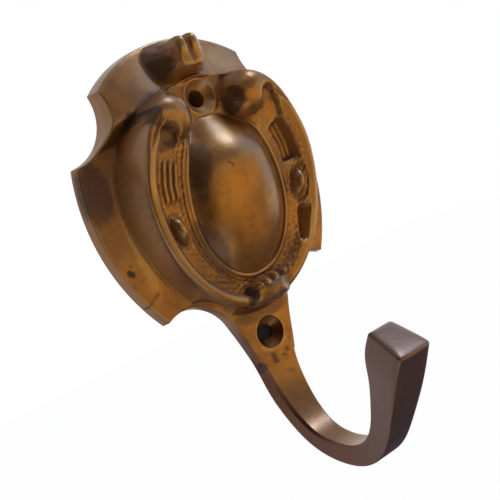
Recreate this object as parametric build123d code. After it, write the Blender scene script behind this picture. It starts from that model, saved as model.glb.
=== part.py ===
"""Cast wall hook: a lobed back plate, an oval cartouche with a domed centre, and one upturned hook.

Millimetres. The back lies on the wall plane Y = 0, the room is toward -Y and Z is up. A rise is a height
off the wall, and front views are drawn in X and Z. The finished casting is moved along Z, so that its origin
lies midway between the screw holes.
"""
import os
from math import cos, radians, sin, tan

from build123d import *

# Back plate, seen from the front
LOBE_HALF_WIDTH = 34.8  # widest point of the side lobes
LOBE_LEVEL = 3.0  # Z of that point, and centre of the turned faces
SIDE_TOP_X, SIDE_TOP_Z = 33.0, 19.4  # upper corner of a side lobe
SIDE_LOW_X, SIDE_LOW_Z = 25.4, -22.2  # lower corner of a side lobe
CREST_X, CREST_Z = 21.6, 34.6  # corner of the top lobe
CREST_TOP = 42.6  # highest point of the top lobe
NOTCH_DEPTH = 4.4  # depth of the hollow between two lobes
LOBE_EDGE = 3.1  # thickness at the rim of a side lobe
LOBE_ROOT = 4.8  # rise of a side lobe where it meets the cartouche
LOBE_ROOT_RADIUS = 24.0
CREST_EDGE = 4.8  # thickness at the rim of the top lobe
CREST_ROOT = 12.6  # rise of the top lobe where it meets the collar
CREST_ROOT_RADIUS = 23.0
CREST_FOOT = 18.5  # Z where the top lobe starts to rise from the side lobes
CREST_SLOPE = 50.0  # degrees that its lower side leans
COVE = 0.6  # hollow of the turned lobe faces

# Cartouche: its foot on the wall, and its rim on a face that leans out toward the top
FOOT_HALF_WIDTH = 27.0
FOOT_LEVEL = 5.0  # Z of its widest point
FOOT_TOP, FOOT_BOTTOM = 31.0, -30.0
FACE_LEAN = 10.8  # degrees
BODY_HALF_WIDTH = 25.0  # at its rim
BODY_LEVEL = 4.0  # Z of its widest point, where the face turns
BODY_TOP, BODY_BOTTOM = 29.9, -28.0  # along the leaning face
RIM_RISE = 15.4  # at the widest point
RIM_WIDTH = 1.3
DISH_FLOOR = 13.4  # rise of the dished band beside the dome, before the face leans

# Dome and the fillet ring round it, before the face leans
DOME_HALF_WIDTH = 13.3
DOME_LEVEL = -2.0
DOME_BOTTOM = -20.0
DOME_TOP = 20.4
DOME_RISE = 19.4
RING_GAP = 0.5
RING_WIDTH = 1.3
RING_HEIGHT = 0.9

# Band ornament, one of each on both sides, before the face leans
SLOT_INNER, SLOT_OUTER = 0.64, 0.83  # edges of the reeded slot, as shares of the oval
SLOT_START, SLOT_END = -3.0, 30.0  # degrees above the widest line
SLOT_FLOOR = 10.6
REED_COUNT = 3
REED_SHARE = 0.03  # width of a reed as a share of the oval
REED_RISE = 12.6
BEAD_X, BEAD_Z = 19.0, -3.4
BEAD_LENGTH, BEAD_WIDTH = 7.6, 4.4
BEAD_RISE = 15.8
BEAD_TURN = 14.0  # degrees
TEAR_WIDE_X, TEAR_WIDE_Z, TEAR_WIDE_RADIUS = 19.0, -11.8, 1.6
TEAR_TIP_X, TEAR_TIP_Z, TEAR_TIP_RADIUS = 15.8, -17.6, 0.7
TEAR_FLOOR = 11.2

# Scrolls that end the rim at the top
BULB_X, BULB_Z = 11.9, 21.9
BULB_LENGTH, BULB_WIDTH = 11.0, 10.0
BULB_BASE = 14.2
BULB_RISE = 20.0
BULB_TURN = 22.0  # degrees that the bulb leans inward
TAIL_START, TAIL_END = 8.0, 50.0  # degrees round the oval where the tail leaves the rim and meets the bulb
TAIL_RADIUS, TAIL_END_RADIUS = 0.8, 2.0
TAIL_INSET = 1.5  # of its middle line from the rim's outer edge
CURL_HOLLOW_X, CURL_HOLLOW_Z, CURL_HOLLOW_RADIUS = 16.0, 19.4, 1.9
CURL_HOLLOW_FLOOR = 11.8

# Valley between the scrolls, where the upper screw hole lies
VALLEY_Z = 29.0
VALLEY_HALF_WIDTH, VALLEY_HALF_HEIGHT = 11.0, 8.0

# Bud on the top lobe and shell under the dome
BUD_Z = 35.2
BUD_BASE = 5.0
BUD_BASE_WIDTH, BUD_BASE_HEIGHT = 13.0, 12.4
BUD_FACE_WIDTH, BUD_FACE_HEIGHT = 7.0, 8.0
BUD_RISE = 16.0
BUD_BUMP_RADIUS = 1.9
SHELL_Z = -24.3
SHELL_BASE = 7.5
SHELL_BASE_WIDTH, SHELL_BASE_HEIGHT = 15.0, 5.4
SHELL_FACE_WIDTH, SHELL_FACE_HEIGHT = 11.0, 3.8
SHELL_RISE = 13.0
SHELL_LOBES = 4
SHELL_LOBE_RADIUS = 1.3

# Screw holes
BORE_RADIUS = 2.2
SINK_RADIUS = 4.2
SINK_ANGLE = 90.0
TOP_HOLE_Z = 25.0
LOW_HOLE_Z = -35.4
COLLAR_RADIUS = 5.6
COLLAR_RISE = 12.9

# Arm, from its root under the cartouche to the join where it leaves the wall
ROOT_X, ROOT_Z = 9.3, -30.4
JOIN_X, JOIN_Z = 5.5, -43.0
WALL_RELIEF = 0.06  # that the hook's back stands off the wall at the join

# Hook below the join, station by station: rise of its inner face, its drop below the join, slope of its
# run in degrees, thickness, half widths of its inner and outer faces, and rounding of its edges
HOOK_STATIONS = (
    (LOBE_EDGE, 0.0, -90.0, LOBE_EDGE - WALL_RELIEF, JOIN_X, JOIN_X, 0.3),
    (3.9, 5.9, -79.0, 3.5, 4.5, 5.2, 0.6),
    (6.1, 12.7, -66.0, 3.7, 3.9, 4.7, 0.7),
    (10.2, 18.6, -40.0, 3.9, 3.5, 4.2, 0.7),
    (17.6, 22.0, -12.0, 4.5, 3.2, 3.8, 0.8),
    (25.8, 21.6, 18.0, 5.0, 3.0, 3.5, 0.8),
    (30.4, 18.2, 54.0, 5.5, 3.0, 3.6, 0.9),
    (33.9, 12.7, 59.0, 6.5, 3.2, 4.2, 1.0),
    (37.3, 5.7, 62.0, 8.3, 3.5, 5.0, 1.2),
    (39.6, -0.2, 59.0, 10.0, 3.9, 5.3, 1.5),
    (42.9, -5.4, 53.0, 10.2, 3.6, 5.1, 1.8),
)

# Hollow behind the cartouche
WALL = 4.5
HOLLOW_DEPTH = 7.5  # before its floor leans with the face
HOLLOW_TOP = 18.0
HOLLOW_DRAFT = 6.0  # degrees

FRONT = Plane.XZ  # local x is X, local y is Z, and it faces the room
LEAN = Pos(0, -RIM_RISE, BODY_LEVEL) * Rot(FACE_LEAN, 0, 0) * Pos(0, RIM_RISE, -BODY_LEVEL)


def oval(level, half_width, top, bottom):
    """Oval face of two half ellipses that meet at the widest line."""
    upper = EllipticalCenterArc((0, level), half_width, top - level, 0, arc_size=180)
    lower = EllipticalCenterArc((0, level), half_width, level - bottom, 180, arc_size=180)
    return make_face([upper, lower])


def body_oval(grow=0.0):
    """The cartouche's oval at its rim, grown outward all round."""
    return oval(BODY_LEVEL, BODY_HALF_WIDTH + grow, BODY_TOP + grow, BODY_BOTTOM - grow)


def body_share(share):
    """The cartouche's oval drawn smaller about its own centre."""
    top = BODY_LEVEL + share * (BODY_TOP - BODY_LEVEL)
    bottom = BODY_LEVEL + share * (BODY_BOTTOM - BODY_LEVEL)
    return oval(BODY_LEVEL, share * BODY_HALF_WIDTH, top, bottom)


def dome_oval(grow=0.0):
    """The dome's egg-shaped foot, grown outward all round."""
    return oval(DOME_LEVEL, DOME_HALF_WIDTH + grow, DOME_TOP + grow, DOME_BOTTOM - grow)


def both_sides(solid):
    return solid + mirror(solid, about=Plane.YZ)


def plate_outline():
    """Top lobe, four notches, two side lobes and the arm's root as one closed outline."""
    crest_corner = (CREST_X, CREST_Z)
    side_top = (SIDE_TOP_X, SIDE_TOP_Z)
    side_low = (SIDE_LOW_X, SIDE_LOW_Z)
    root = (ROOT_X, ROOT_Z)
    join = (JOIN_X, JOIN_Z)
    bend = ((ROOT_X + 2 * JOIN_X) / 3, (ROOT_Z + JOIN_Z) / 2)
    right = [
        SagittaArc(crest_corner, side_top, -NOTCH_DEPTH),
        ThreePointArc(side_top, (LOBE_HALF_WIDTH, LOBE_LEVEL), side_low),
        SagittaArc(side_low, root, -NOTCH_DEPTH),
        Bezier(root, bend, join),
    ]
    left = [mirror(edge, about=Plane.YZ) for edge in right]
    crest = ThreePointArc((-CREST_X, CREST_Z), (0, CREST_TOP), crest_corner)
    end = Line(join, (-JOIN_X, JOIN_Z))
    return make_face([crest, *right, end, *left])


def turned_face(root_radius, root_rise, edge_radius, edge_rise):
    """Disc turned about the plate's centre, with a cove that falls from its root to its edge."""
    reach = 2 * edge_radius
    profile = make_face([
        SagittaArc((root_radius, root_rise), (edge_radius, edge_rise), -COVE),
        Polyline((edge_radius, edge_rise), (reach, edge_rise), (reach, 0), (0, 0), (0, root_rise),
                 (root_radius, root_rise)),
    ])
    section = Plane(origin=(0, 0, LOBE_LEVEL), x_dir=(1, 0, 0), z_dir=(0, 0, -1))
    return revolve(section * profile, Axis((0, 0, LOBE_LEVEL), (0, 1, 0)))


def plate():
    """Side lobes and arm root under one turned face, and the thicker top lobe under another."""
    blank = extrude(FRONT * plate_outline(), CREST_ROOT)
    side = blank & turned_face(LOBE_ROOT_RADIUS, LOBE_ROOT, LOBE_HALF_WIDTH, LOBE_EDGE)
    crest = blank & turned_face(CREST_ROOT_RADIUS, CREST_ROOT, CREST_TOP - LOBE_LEVEL, CREST_EDGE)
    ramp_end = CREST_FOOT + CREST_ROOT / tan(radians(CREST_SLOPE))
    ramp = make_face(Polyline(
        (0, CREST_FOOT), (-CREST_ROOT, ramp_end), (-CREST_ROOT, 2 * CREST_TOP), (0, 2 * CREST_TOP), close=True))
    return side + (crest & extrude(Plane.YZ * ramp, 2 * CREST_X, both=True))


def dome(half_width, top, bottom, base, rise):
    """Half of an egg-shaped oval turned about Z, flattened to its rise and set on its base."""
    half = oval(DOME_LEVEL, half_width, top, bottom)
    half &= Rectangle(2 * half_width, 4 * (top - bottom), align=(Align.MIN, Align.CENTER))
    turned = revolve(FRONT * half, Axis.Z)
    return Pos(0, -base, 0) * scale(turned, by=(1, (rise - base) / half_width, 1))


def cartouche():
    """Oval body whose leaning face has a thin rim round a dished band, a ring, and the dome in it."""
    foot = FRONT * oval(FOOT_LEVEL, FOOT_HALF_WIDTH, FOOT_TOP, FOOT_BOTTOM)
    face = FRONT.offset(RIM_RISE) * body_oval()
    body = loft([foot, LEAN * face]) & extrude(FRONT * plate_outline(), 2 * RIM_RISE)
    dish_mouth = FRONT.offset(RIM_RISE) * body_oval(-RIM_WIDTH)
    dish_floor = FRONT.offset(DISH_FLOOR) * dome_oval(RING_GAP + RING_WIDTH)
    body -= LEAN * loft([dish_floor, dish_mouth])
    ring = dome_oval(RING_GAP + RING_WIDTH) - dome_oval(RING_GAP)
    body += LEAN * extrude(FRONT.offset(DISH_FLOOR - RING_HEIGHT) * ring, 2 * RING_HEIGHT)
    return body + LEAN * dome(DOME_HALF_WIDTH, DOME_TOP, DOME_BOTTOM, DISH_FLOOR, DOME_RISE)


def slot(inner, outer, floor, ceiling):
    """Piece of the band between two shares of the oval and the slot's two end angles."""
    reach = 2 * BODY_HALF_WIDTH
    ends = [radians(angle) for angle in (SLOT_START, SLOT_END)]
    rays = [(reach * cos(angle), BODY_LEVEL + reach * sin(angle)) for angle in ends]
    wedge = make_face(Polyline((0, BODY_LEVEL), *rays, close=True))
    band = (body_share(outer) - body_share(inner)) & wedge
    return extrude(FRONT.offset(floor) * band, ceiling - floor)


def slots():
    """Reeded slot, teardrop and curl hollow that are sunk into the band on one side."""
    upper = slot(SLOT_INNER, SLOT_OUTER, SLOT_FLOOR, RIM_RISE)
    pitch = (SLOT_OUTER - SLOT_INNER) / (REED_COUNT + 1)
    for index in range(REED_COUNT):
        middle = SLOT_INNER + (index + 1) * pitch
        upper -= slot(middle - REED_SHARE / 2, middle + REED_SHARE / 2, SLOT_FLOOR, REED_RISE)
    wide = Pos(TEAR_WIDE_X, TEAR_WIDE_Z) * Circle(TEAR_WIDE_RADIUS)
    tip = Pos(TEAR_TIP_X, TEAR_TIP_Z) * Circle(TEAR_TIP_RADIUS)
    tear = make_hull([*wide.edges(), *tip.edges()])
    tear = extrude(FRONT.offset(TEAR_FLOOR) * tear, RIM_RISE - TEAR_FLOOR)
    curl = Pos(CURL_HOLLOW_X, CURL_HOLLOW_Z) * Circle(CURL_HOLLOW_RADIUS)
    curl = extrude(FRONT.offset(CURL_HOLLOW_FLOOR) * curl, RIM_RISE - CURL_HOLLOW_FLOOR)
    return LEAN * (upper + tear + curl)


def ellipsoid(x, z, length, width, base, rise, turn):
    """Ball stretched to a length and a rise above its base, its long axis turned away from Z."""
    ball = scale(Sphere(width / 2), by=(1, 2 * (rise - base) / width, length / width))
    return Pos(x, -base, z) * Rot(0, turn, 0) * ball


def scroll():
    """Tail that swells along the rim and ends in a bulb, with the bead of the band below it."""
    tail_arc = EllipticalCenterArc(
        (0, BODY_LEVEL), BODY_HALF_WIDTH - TAIL_INSET, BODY_TOP - BODY_LEVEL - TAIL_INSET,
        TAIL_START, arc_size=TAIL_END - TAIL_START)
    path = FRONT.offset(RIM_RISE - TAIL_END_RADIUS) * tail_arc
    ends = [(path ^ 0) * Circle(TAIL_RADIUS), (path ^ 1) * Circle(TAIL_END_RADIUS)]
    tail = LEAN * sweep(ends, path=path, multisection=True)
    bulb = ellipsoid(BULB_X, BULB_Z, BULB_LENGTH, BULB_WIDTH, BULB_BASE, BULB_RISE, BULB_TURN)
    bead = LEAN * ellipsoid(BEAD_X, BEAD_Z, BEAD_LENGTH, BEAD_WIDTH, DISH_FLOOR, BEAD_RISE, BEAD_TURN)
    return tail + bulb + bead


def boss(z, base, rise, base_size, face_size):
    """Steep oval boss, wide at its base and narrow at its face."""
    foot = FRONT.offset(base) * Pos(0, z) * Ellipse(base_size[0] / 2, base_size[1] / 2)
    face = FRONT.offset(rise) * Pos(0, z) * Ellipse(face_size[0] / 2, face_size[1] / 2)
    return loft([foot, face])


def bud():
    """Boss on the top lobe with two small bumps at its upper edge."""
    body = boss(BUD_Z, BUD_BASE, BUD_RISE, (BUD_BASE_WIDTH, BUD_BASE_HEIGHT),
                (BUD_FACE_WIDTH, BUD_FACE_HEIGHT))
    bump_z = BUD_Z + BUD_FACE_HEIGHT / 2 - BUD_BUMP_RADIUS
    bump = Pos(BUD_FACE_WIDTH / 4, BUD_BUMP_RADIUS / 2 - BUD_RISE, bump_z) * Sphere(BUD_BUMP_RADIUS)
    return body + both_sides(bump)


def shell():
    """Boss at the foot of the rim with a row of small lobes along its upper edge."""
    body = boss(SHELL_Z, SHELL_BASE, SHELL_RISE, (SHELL_BASE_WIDTH, SHELL_BASE_HEIGHT),
                (SHELL_FACE_WIDTH, SHELL_FACE_HEIGHT))
    pitch = SHELL_FACE_WIDTH / SHELL_LOBES
    for index in range(SHELL_LOBES):
        x = (index - (SHELL_LOBES - 1) / 2) * pitch
        lobe_z = SHELL_Z + SHELL_FACE_HEIGHT / 2
        body += Pos(x, SHELL_LOBE_RADIUS / 2 - SHELL_RISE, lobe_z) * Sphere(SHELL_LOBE_RADIUS)
    return body


def hook():
    """Arm, bend and flared tip lofted through the stations, each square to the hook's run."""
    sections = []
    for rise, drop, slope, thickness, inner, outer, rounding in HOOK_STATIONS:
        run = (0, -cos(radians(slope)), sin(radians(slope)))
        plane = Plane(origin=(0, -rise, JOIN_Z - drop), x_dir=(1, 0, 0), z_dir=run)
        corners = [(-inner, 0), (inner, 0), (outer, -thickness), (-outer, -thickness)]
        section = make_face(Polyline(*corners, close=True))
        sections.append(plane * fillet(section.vertices(), rounding))
    return loft(sections)


def screw_hole(z, rise):
    cutter = CounterSinkHole(BORE_RADIUS, SINK_RADIUS, 2 * rise, SINK_ANGLE)
    return FRONT.offset(rise) * Pos(0, z) * cutter


def hollow():
    """Pocket behind the cartouche, with the underside of the dome in its leaning floor."""
    draft = HOLLOW_DEPTH * tan(radians(HOLLOW_DRAFT))
    half_width = BODY_HALF_WIDTH - WALL
    bottom = BODY_BOTTOM + WALL
    mouth = FRONT * oval(BODY_LEVEL, half_width, HOLLOW_TOP, bottom)
    floor = FRONT.offset(HOLLOW_DEPTH) * oval(BODY_LEVEL, half_width - draft, HOLLOW_TOP - draft, bottom + draft)
    under = dome(DOME_HALF_WIDTH - WALL / 2, DOME_TOP - WALL, DOME_BOTTOM + WALL, HOLLOW_DEPTH,
                 DOME_RISE - WALL)
    return loft([mouth, LEAN * floor]) + LEAN * under


def valley():
    """Cutter that clears the rim away round the upper screw hole."""
    mouth = FRONT.offset(COLLAR_RISE) * Pos(0, VALLEY_Z) * Ellipse(VALLEY_HALF_WIDTH, VALLEY_HALF_HEIGHT)
    return extrude(mouth, RIM_RISE)


def wall_hook():
    collar = extrude(FRONT * Pos(0, TOP_HOLE_Z) * Circle(COLLAR_RADIUS), COLLAR_RISE)
    body = plate() + cartouche() - both_sides(slots()) - valley()
    body += both_sides(scroll())
    body += bud() + shell() + collar
    body += hook()
    body -= hollow()
    body -= screw_hole(TOP_HOLE_Z, COLLAR_RISE)
    return body - screw_hole(LOW_HOLE_Z, LOBE_EDGE)


os.makedirs("parts", exist_ok=True)
casting = Pos(0, 0, -(TOP_HOLE_Z + LOW_HOLE_Z) / 2) * wall_hook()
export_step(casting, "parts/wall_hook.step")
print("wall_hook", len(casting.solids()), "solid", round(casting.volume / 1000, 1), "cm3")
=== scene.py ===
"""Looks of the cast brass wall hook, in one shared frame with its solids.

Lengths in the tables below are millimetres as drawn from the front: x to the right, z up, and a rise is a
height off the wall toward the room. The finished casting is moved along z, so that the frame's origin lies
midway between the screw holes, and then turned into metres. Pairs for the two sides name the left first.
"""
import math

import bpy
import numpy as np
from mathutils import Matrix, Vector


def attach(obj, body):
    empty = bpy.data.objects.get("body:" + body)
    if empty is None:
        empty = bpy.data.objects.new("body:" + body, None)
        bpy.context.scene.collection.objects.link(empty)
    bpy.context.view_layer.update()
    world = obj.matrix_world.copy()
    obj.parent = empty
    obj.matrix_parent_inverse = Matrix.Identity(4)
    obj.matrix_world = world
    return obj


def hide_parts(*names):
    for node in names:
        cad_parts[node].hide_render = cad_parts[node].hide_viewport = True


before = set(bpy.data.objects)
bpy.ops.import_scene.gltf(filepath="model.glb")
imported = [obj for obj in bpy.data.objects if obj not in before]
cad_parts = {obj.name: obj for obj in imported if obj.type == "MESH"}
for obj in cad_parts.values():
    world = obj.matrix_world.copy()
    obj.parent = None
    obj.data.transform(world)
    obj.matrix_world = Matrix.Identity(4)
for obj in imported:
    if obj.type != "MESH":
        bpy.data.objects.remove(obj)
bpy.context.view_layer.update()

MM = 0.001
TOP_HOLE_Z, LOW_HOLE_Z = 25.0, -35.4
ORIGIN_Z = (TOP_HOLE_Z + LOW_HOLE_Z) / 2  # drawn height of the frame's origin
BORE, SINK = 2.2, 4.2  # radii of the screw holes
HOLE_SIDES = 64

# Back plate
CENTRE_Z = 3.0  # middle of the polar net and of the turned lobe faces
LOBE_HALF_WIDTH = 34.8
SIDE_TOP, SIDE_LOW = (33.0, 19.4), (25.9, -22.7)  # corners of a side lobe
CREST_CORNER, CREST_TOP = (21.6, 34.6), 42.6
ROOT, JOIN = (9.3, -30.4), (6.1, -43.0)  # where the arm starts, and where the hook takes over
NOTCH_DEPTH = 4.4
LOBE_EDGE, LOBE_ROOT, LOBE_ROOT_RADIUS = 3.1, 4.8, 24.0
CREST_EDGE, CREST_ROOT, CREST_ROOT_RADIUS = 4.8, 12.6, 23.0
CREST_FOOT, CREST_SLOPE = 18.5, 50.0  # level where the crest's ramp starts, and its slope in degrees
CREST_BLEND, RAMP_BLEND = 1.6, 1.0
COVE = 0.6
ARM_RISE, ARM_SWELL, ARM_SWELL_START = 3.2, 0.0035, -42.0
ARM_LEVELS, ARM_SIDES = (-30.0, -22.0), (9.0, 16.0)  # between these, up and outward, the arm fades out
EDGE_DRAFT, ARM_DRAFT, EDGE_ROUND = 0.45, 0.85, 0.45
DRAFT_LEVELS = (-32.0, -24.0)  # between these the arm's draft turns into the lobes'
SINK_START, SINK_RATE = -37.5, 0.01  # where the plate's arm starts to dive under the hook's skin
BACK_START, BACK_RATE = -33.0, 0.015  # the same at its back
ARC_POINTS, ARM_POINTS, END_POINTS, OVAL_POINTS = 60, 40, 20, 1440  # points that draw the outlines

# Cartouche
FOOT_OVAL = (5.0, 27.0, 31.0, -30.0)  # level of the widest point, half width, top and bottom
RIM_OVAL = (4.0, 25.0, 29.44, -27.43)
DOME_OVAL = (-1.5, 13.3, 20.5, -19.2)
FACE_LEAN = 10.8  # degrees
FACE_LEVEL = 4.0
RIM_RISE, BAND_RISE, DOME_RISE = 15.4, 13.4, 19.4
DOME_ROUND = 1.33  # radius of the dome's curve over the dome's half width
FOOT_FILLET, LEAST_FILLET = 0.7, 0.05
FILLET_WALLS = (2.0, 6.0)  # wall height with no fillet, and what more a full one takes
FOOT_GAP = 0.3  # least flat outside the fillet
HOLLOW_OVAL = (4.0, 20.5, 18.0, -23.5)
HOLLOW_RISE, HOLLOW_LEAST, HOLLOW_DRAFT, SHELL_WALL = 7.5, 1.5, 0.8, 3.6
HOLLOW_SWELL = 0.8  # share of the dome's swell behind it

# Profiles of the rim's ribbon and of the ring round the dome: offset outward from the oval, and lift
RIBBON = np.array([(-0.35, -2.6), (-0.45, -2.2), (-0.4, -1.8), (-0.25, -1.45), (0.0, -1.15), (0.12, -0.9),
                   (0.1, -0.62), (-0.1, -0.3), (-0.4, -0.08), (-0.8, 0.05), (-1.2, 0.08), (-1.6, 0.02),
                   (-1.95, -0.15), (-2.2, -0.42), (-2.4, -0.8), (-2.55, -1.2)])
RING = np.array([(1.9, 0.0), (1.6, 0.05), (1.35, 0.18), (1.1, 0.34), (0.85, 0.42), (0.6, 0.36), (0.4, 0.2),
                 (0.22, -0.02), (0.1, -0.16), (0.0, -0.22)])
RIBBON_LEVELS = (16.0, 21.0)  # between these the ribbon's undercut runs out toward the collar
RIBBON_START = 0.1  # first offset there
RIBBON_INNER = -1.4  # offsets past this belong to the ribbon's inner fall
RIBBON_EASE = 0.9  # how much shallower the ribbon falls to the band on the right
RING_LEVELS = (12.0, 17.0)  # between these the ring fades out toward the collar
MIDDLE = (-4.0, 4.0)  # between these the left form turns into the right
BAND_ENDS = (0.12, 0.6)  # share of the band in which it falls to its floor
BAND_ROUGH, BAND_WAVE, BAND_SEED = 0.05, 1.3, 5  # ripples on its floor
CHANNEL_DEPTH = 0.35  # groove beside the ring on the left
CHANNEL_START, CHANNEL_END = (0.7, 0.84), (0.93, 1.0)  # shares of the band
CHANNEL_SIDE = (-6.0, -2.0)  # where it runs out toward the right

# Polar net: columns, how far they crowd toward the top and bottom, and rings of each stretch
ANGLES, CROWDING = 480, 0.16
HOLLOW_RINGS, FLAT_RINGS, EDGE_ARC, FACE_RINGS = 9, 3, 5, 38
FILLET_ARC, WALL_RINGS, BAND_RINGS, DOME_RINGS = 8, 12, 54, 26
HOLLOW_SPAN, DOME_SPAN = (0.02, 0.98), (0.985, 0.03)  # first and last rings, in shares of the oval
BACK_GAPS = (0.3, 0.2)  # from the back's rings to the hollow and the outline
RING_GAP = 0.15  # between two stretches
WALL_GAPS = (0.05, 0.1)  # the same under the ribbon, outward and down

WAVES, WAVE_LEAST, WAVE_SPREAD = 14, 0.7, 0.8  # waves in a ripple, and their lengths
WAVE_TURN = 6.283  # radians in which their directions and phases lie


def smooth(value, low, high):
    """Rises from 0 at low to 1 at high along a cubic."""
    t = np.clip((value - low) / (high - low), 0, 1)
    return t * t * (3 - 2 * t)


def fade(value, low, high):
    """Falls from 1 at low to 0 at high along the same cubic."""
    return smooth(-value, -high, -low)


def by_side(x, pair):
    """First value of the pair on the left, the second on the right."""
    return np.where(x < 0, *pair)


def soft_max(a, b, width):
    """Larger of two heights, with a round blend of that width where they cross."""
    t = np.clip(0.5 + 0.5 * (a - b) / width, 0, 1)
    return b + (a - b) * t + width * t * (1 - t)


def soft_min(a, b, width):
    """Smaller of two heights, with the same round blend."""
    return -soft_max(-a, -b, width)


def lean(z):
    """Extra rise of the leaning cartouche face: zero at its level, growing toward the top."""
    return math.tan(math.radians(FACE_LEAN)) * (z - FACE_LEVEL)


def spline(knots, values, places):
    """Natural cubic through the knots: second slopes from one tridiagonal solve, then each gap's cubic."""
    gap = np.diff(knots)
    count = len(knots)
    system = np.eye(count)
    index = np.arange(1, count - 1)
    system[index, index - 1] = gap[:-1]
    system[index, index] = 2 * (gap[:-1] + gap[1:])
    system[index, index + 1] = gap[1:]
    right = np.zeros_like(values)
    steps = np.diff(values, axis=0) / gap[:, None]
    right[1:-1] = 6 * np.diff(steps, axis=0)
    bend = np.linalg.solve(system, right)
    i = np.clip(np.searchsorted(knots, places) - 1, 0, count - 2)
    h = gap[i][:, None]
    a = (knots[i + 1] - places)[:, None]
    b = (places - knots[i])[:, None]
    return ((bend[i] * a ** 3 + bend[i + 1] * b ** 3) / (6 * h)
            + (values[i] / h - bend[i] * h / 6) * a + (values[i + 1] / h - bend[i + 1] * h / 6) * b)


def run_lengths(points):
    """Length of a run of points up to each of them."""
    return np.concatenate([[0], np.cumsum(np.hypot(*np.diff(points, axis=0).T))])


def ripple(x, z, wave, seed):
    """Smooth unit noise: a sum of sine waves of about one length in seeded directions and phases."""
    dice = np.random.default_rng(seed)
    total = 0.0
    for turn, phase, stretch in dice.random((WAVES, 3)):
        pull = 2 * np.pi / (wave * (WAVE_LEAST + WAVE_SPREAD * stretch))
        heading = WAVE_TURN * turn
        total = total + np.sin(pull * (x * np.cos(heading) + z * np.sin(heading)) + WAVE_TURN * phase)
    return total / math.sqrt(WAVES / 2)


def arc_through(start, middle, end, count=ARC_POINTS):
    """Points of the circle through three points: centre from the two chords' bisectors, then equal turns."""
    (ax, az), (bx, bz), (cx, cz) = start, middle, end
    d = 2 * (ax * (bz - cz) + bx * (cz - az) + cx * (az - bz))
    a2, b2, c2 = ax * ax + az * az, bx * bx + bz * bz, cx * cx + cz * cz
    ox = (a2 * (bz - cz) + b2 * (cz - az) + c2 * (az - bz)) / d
    oz = (a2 * (cx - bx) + b2 * (ax - cx) + c2 * (bx - ax)) / d
    turns = np.unwrap([math.atan2(p[1] - oz, p[0] - ox) for p in (start, middle, end)])
    t = np.linspace(turns[0], turns[2], count)
    radius = math.hypot(ax - ox, az - oz)
    return np.stack([ox + radius * np.cos(t), oz + radius * np.sin(t)])


def notch_arc(start, end):
    """Arc between two lobes, hollow toward the plate's middle by the notch depth."""
    a, b = np.array(start), np.array(end)
    chord = b - a
    inward = np.array([-chord[1], chord[0]]) / np.linalg.norm(chord)
    middle = (a + b) / 2
    if np.dot(inward, np.array([0, CENTRE_Z]) - middle) < 0:
        inward = -inward
    return arc_through(start, tuple(middle + NOTCH_DEPTH * inward), end)


def arm_sink(z):
    """How far the plate's arm dives under the hook's skin: square of the drop below where the dive starts."""
    return SINK_RATE * np.clip(SINK_START - z, 0, None) ** 2


def back_sink(z):
    """How far the arm's back lies off the wall: a slight slope, and the hook's back takes over from it."""
    return BACK_RATE * np.clip(BACK_START - z, 0, None)


def outline_points():
    """Right half of the plate's outline from the top to the arm's end, and its mirror image: arcs round the
    lobes and notches, and one quadratic curve down the arm."""
    t = np.linspace(0, 1, ARM_POINTS)
    bend = ((ROOT[0] + 2 * JOIN[0]) / 3, (ROOT[1] + JOIN[1]) / 2)
    arm = np.stack([(1 - t) ** 2 * ROOT[i] + 2 * t * (1 - t) * bend[i] + t * t * JOIN[i] for i in (0, 1)])
    arm[0] -= arm_sink(arm[1])
    left_corner = (-CREST_CORNER[0], CREST_CORNER[1])
    crest = arc_through(left_corner, (0, CREST_TOP), CREST_CORNER, 2 * ARC_POINTS + 1)[:, ARC_POINTS:]
    side = arc_through(SIDE_TOP, (LOBE_HALF_WIDTH, CENTRE_Z), SIDE_LOW, 2 * ARC_POINTS)
    end = np.stack([np.linspace(arm[0, -1], 0, END_POINTS), np.full(END_POINTS, JOIN[1])])
    parts = [crest, notch_arc(CREST_CORNER, SIDE_TOP), side, notch_arc(SIDE_LOW, ROOT), arm, end]
    right = np.concatenate(parts, axis=1)
    return np.concatenate([right, right[:, ::-1] * np.array([[-1], [1]])], axis=1)


def oval_points(oval):
    """Two half ellipses that meet at the widest line."""
    level, half_width, top, bottom = oval
    t = np.linspace(0, 2 * np.pi, OVAL_POINTS, endpoint=False)
    up = np.where(np.cos(t) > 0, top - level, level - bottom)
    return np.stack([half_width * np.sin(t), level + up * np.cos(t)])


def polar(points, turns):
    """Radius of a closed curve about the net's middle at each turn, clockwise from the top."""
    angle = np.arctan2(points[0], points[1] - CENTRE_Z)
    return np.interp(turns, angle, np.hypot(points[0], points[1] - CENTRE_Z), period=2 * np.pi)


def turned_face(radius, root_radius, root_rise, edge_radius, edge_rise):
    """Straight fall from root to edge with a parabola of the cove's depth taken off it."""
    t = np.clip((radius - root_radius) / (edge_radius - root_radius), 0, 1)
    return root_rise + (edge_rise - root_rise) * t - COVE * 4 * t * (1 - t)


def plate_rise(x, z):
    """Side lobes' turned face, with the thicker crest let in above its ramp, and below them the arm, which
    thickens toward its root by the square of the height."""
    radius = np.hypot(x, z - CENTRE_Z)
    side = turned_face(radius, LOBE_ROOT_RADIUS, LOBE_ROOT, LOBE_HALF_WIDTH, LOBE_EDGE)
    arm = ARM_RISE + ARM_SWELL * np.clip(z - ARM_SWELL_START, 0, None) ** 2 - arm_sink(z)
    side = side + (arm - side) * fade(z, *ARM_LEVELS) * fade(np.abs(x), *ARM_SIDES)
    crest = turned_face(radius, CREST_ROOT_RADIUS, CREST_ROOT, CREST_TOP - CENTRE_Z, CREST_EDGE)
    ramp = (z - CREST_FOOT) * math.tan(math.radians(CREST_SLOPE))
    return soft_max(side, soft_min(crest, ramp, CREST_BLEND), RAMP_BLEND)


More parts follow.
